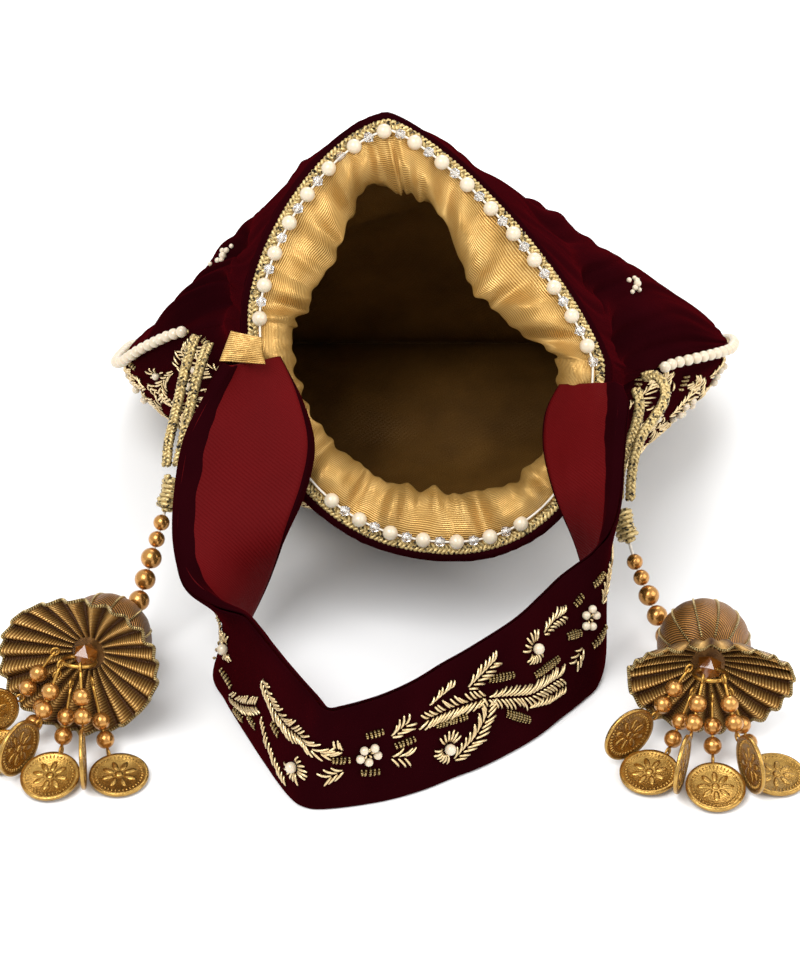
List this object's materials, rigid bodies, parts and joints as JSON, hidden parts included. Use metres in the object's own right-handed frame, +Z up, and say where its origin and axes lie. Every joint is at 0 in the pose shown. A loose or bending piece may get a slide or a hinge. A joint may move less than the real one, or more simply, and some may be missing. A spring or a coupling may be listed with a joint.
{
  "type": "potli bag",
  "caption": "Small gathered velvet drawstring pouch lying open with a gold-lined mouth, a flat embroidered loop handle and two drawstring tassels that end in pleated skirts, beads and coins.",
  "frame": {"origin": "middle of the footprint of the bag and its handle on the surface it lies on", "axes": "+Z up, -Y the way the open mouth faces, +X to the right as seen from the front"},
  "size_m": [0.2558, 0.2445, 0.1523],
  "materials": {
    "velvet": "maroon velvet pile",
    "satin": "dark red twill satin",
    "gold_tissue": "ribbed gold tissue cloth",
    "gold_braid": "gold braid flecked with black",
    "pearl": "glossy off-white pearl",
    "gold_bead": "metallised gold bead",
    "gold_foil": "brown cloth woven with gold thread",
    "brass": "stamped brass, lightly tarnished"
  },
  "bodies": {
    "bag": {"back_panel": "velvet", "front_panel": "velvet", "bag_lining": "gold_tissue", "gold_facing": "gold_tissue", "mouth_braid": "gold_braid", "mouth_pearl_string": "pearl", "left_seam_pearls": "pearl", "right_seam_pearls": "pearl", "handle_velvet": "velvet", "handle_satin": "satin", "left_channel_cord": "gold_braid", "right_channel_cord": "gold_braid", "left_drawstring_a": "gold_braid", "left_drawstring_b": "gold_braid", "right_drawstring_a": "gold_braid", "right_drawstring_b": "gold_braid", "left_knot": "gold_braid", "left_cord_bead_1": "gold_bead", "left_cord_bead_2": "gold_bead", "left_cord_bead_3": "gold_bead", "left_cord_bead_4": "gold_bead", "left_cord_bead_5": "gold_bead", "left_tassel_ball": "gold_foil", "left_tassel_skirt": "gold_foil", "left_hub_ring": "brass", "right_knot": "gold_braid", "right_cord_bead_1": "gold_bead", "right_cord_bead_2": "gold_bead", "right_cord_bead_3": "gold_bead", "right_cord_bead_4": "gold_bead", "right_cord_bead_5": "gold_bead", "right_tassel_ball": "gold_foil", "right_tassel_skirt": "gold_foil", "right_hub_ring": "brass"},
    "left_dangler_1": {"left_dangler_1": "gold_bead"},
    "left_coin_1": {"left_coin_1": "brass"},
    "left_dangler_2": {"left_dangler_2": "gold_bead"},
    "left_coin_2": {"left_coin_2": "brass"},
    "left_dangler_3": {"left_dangler_3": "gold_bead"},
    "left_coin_3": {"left_coin_3": "brass"},
    "left_dangler_4": {"left_dangler_4": "gold_bead"},
    "left_coin_4": {"left_coin_4": "brass"},
    "left_dangler_5": {"left_dangler_5": "gold_bead"},
    "left_coin_5": {"left_coin_5": "brass"},
    "left_dangler_6": {"left_dangler_6": "gold_bead"},
    "left_coin_6": {"left_coin_6": "brass"},
    "right_dangler_1": {"right_dangler_1": "gold_bead"},
    "right_coin_1": {"right_coin_1": "brass"},
    "right_dangler_2": {"right_dangler_2": "gold_bead"},
    "right_coin_2": {"right_coin_2": "brass"},
    "right_dangler_3": {"right_dangler_3": "gold_bead"},
    "right_coin_3": {"right_coin_3": "brass"},
    "right_dangler_4": {"right_dangler_4": "gold_bead"},
    "right_coin_4": {"right_coin_4": "brass"},
    "right_dangler_5": {"right_dangler_5": "gold_bead"},
    "right_coin_5": {"right_coin_5": "brass"},
    "right_dangler_6": {"right_dangler_6": "gold_bead"},
    "right_coin_6": {"right_coin_6": "brass"}
  },
  "joints": [
    {"name": "left_dangler_1_swing", "type": "hinge", "parent": "bag", "child": "left_dangler_1", "pos_m": [-0.11348, -0.07997, 0.02799], "axis": [-0.3161, 0.9487, 0], "range_deg": [0, 15]},
    {"name": "left_coin_1_swing", "type": "hinge", "parent": "left_dangler_1", "child": "left_coin_1", "pos_m": [-0.12487, -0.08376, 0.0129], "axis": [-0.3161, 0.9487, 0], "range_deg": [0, 30]},
    {"name": "left_dangler_2_swing", "type": "hinge", "parent": "bag", "child": "left_dangler_2", "pos_m": [-0.11298, -0.08315, 0.02149], "axis": [-0.6077, 0.7941, 0], "range_deg": [0, 15]},
    {"name": "left_coin_2_swing", "type": "hinge", "parent": "left_dangler_2", "child": "left_coin_2", "pos_m": [-0.12251, -0.09044, 0.0036], "axis": [-0.6077, 0.7941, 0], "range_deg": [0, 30]},
    {"name": "left_dangler_3_swing", "type": "hinge", "parent": "bag", "child": "left_dangler_3", "pos_m": [-0.11111, -0.08577, 0.02799], "axis": [-0.8332, 0.553, 0], "range_deg": [0, 15]},
    {"name": "left_coin_3_swing", "type": "hinge", "parent": "left_dangler_3", "child": "left_coin_3", "pos_m": [-0.11775, -0.09577, 0.0129], "axis": [-0.8332, 0.553, 0], "range_deg": [0, 30]},
    {"name": "left_dangler_4_swing", "type": "hinge", "parent": "bag", "child": "left_dangler_4", "pos_m": [-0.10826, -0.08728, 0.02149], "axis": [-0.9678, 0.2516, 0], "range_deg": [0, 15]},
    {"name": "left_coin_4_swing", "type": "hinge", "parent": "left_dangler_4", "child": "left_coin_4", "pos_m": [-0.11128, -0.09889, 0.005], "axis": [-0.9678, 0.2516, 0], "range_deg": [0, 30]},
    {"name": "left_dangler_5_swing", "type": "hinge", "parent": "bag", "child": "left_dangler_5", "pos_m": [-0.10504, -0.08735, 0.02799], "axis": [-0.997, -0.0772, 0], "range_deg": [0, 15]},
    {"name": "left_coin_5_swing", "type": "hinge", "parent": "left_dangler_5", "child": "left_coin_5", "pos_m": [-0.10412, -0.09931, 0.0129], "axis": [-0.997, -0.0772, 0], "range_deg": [0, 30]},
    {"name": "left_dangler_6_swing", "type": "hinge", "parent": "bag", "child": "left_dangler_6", "pos_m": [-0.10213, -0.08597, 0.02149], "axis": [-0.9176, -0.3976, 0], "range_deg": [0, 15]},
    {"name": "left_coin_6_swing", "type": "hinge", "parent": "left_dangler_6", "child": "left_coin_6", "pos_m": [-0.09736, -0.09698, 0.0021], "axis": [-0.9176, -0.3976, 0], "range_deg": [0, 30]},
    {"name": "right_dangler_1_swing", "type": "hinge", "parent": "bag", "child": "right_dangler_1", "pos_m": [0.07827, -0.08566, 0.02605], "axis": [-0.5446, 0.8387, 0], "range_deg": [0, 15]},
    {"name": "right_coin_1_swing", "type": "hinge", "parent": "right_dangler_1", "child": "right_coin_1", "pos_m": [0.06821, -0.0922, 0.0129], "axis": [-0.5446, 0.8387, 0], "range_deg": [0, 30]},
    {"name": "right_dangler_2_swing", "type": "hinge", "parent": "bag", "child": "right_dangler_2", "pos_m": [0.07956, -0.08861, 0.01955], "axis": [-0.788, 0.6157, 0], "range_deg": [0, 15]},
    {"name": "right_coin_2_swing", "type": "hinge", "parent": "right_dangler_2", "child": "right_coin_2", "pos_m": [0.07217, -0.09807, 0.0036], "axis": [-0.788, 0.6157, 0], "range_deg": [0, 30]},
    {"name": "right_dangler_3_swing", "type": "hinge", "parent": "bag", "child": "right_dangler_3", "pos_m": [0.08203, -0.09068, 0.02605], "axis": [-0.9455, 0.3256, 0], "range_deg": [0, 15]},
    {"name": "right_coin_3_swing", "type": "hinge", "parent": "right_dangler_3", "child": "right_coin_3", "pos_m": [0.07812, -0.10203, 0.0129], "axis": [-0.9455, 0.3256, 0], "range_deg": [0, 30]},
    {"name": "right_dangler_4_swing", "type": "hinge", "parent": "bag", "child": "right_dangler_4", "pos_m": [0.08516, -0.09142, 0.01955], "axis": [-1, 0, 0], "range_deg": [0, 15]},
    {"name": "right_coin_4_swing", "type": "hinge", "parent": "right_dangler_4", "child": "right_coin_4", "pos_m": [0.08516, -0.10342, 0.005], "axis": [-1, 0, 0], "range_deg": [0, 30]},
    {"name": "right_dangler_5_swing", "type": "hinge", "parent": "bag", "child": "right_dangler_5", "pos_m": [0.08829, -0.09068, 0.02605], "axis": [-0.9455, -0.3256, 0], "range_deg": [0, 15]},
    {"name": "right_coin_5_swing", "type": "hinge", "parent": "right_dangler_5", "child": "right_coin_5", "pos_m": [0.0922, -0.10203, 0.0129], "axis": [-0.9455, -0.3256, 0], "range_deg": [0, 30]},
    {"name": "right_dangler_6_swing", "type": "hinge", "parent": "bag", "child": "right_dangler_6", "pos_m": [0.09076, -0.08861, 0.01955], "axis": [-0.788, -0.6157, 0], "range_deg": [0, 15]},
    {"name": "right_coin_6_swing", "type": "hinge", "parent": "right_dangler_6", "child": "right_coin_6", "pos_m": [0.09815, -0.09807, 0.0021], "axis": [-0.788, -0.6157, 0], "range_deg": [0, 30]}
  ]
}
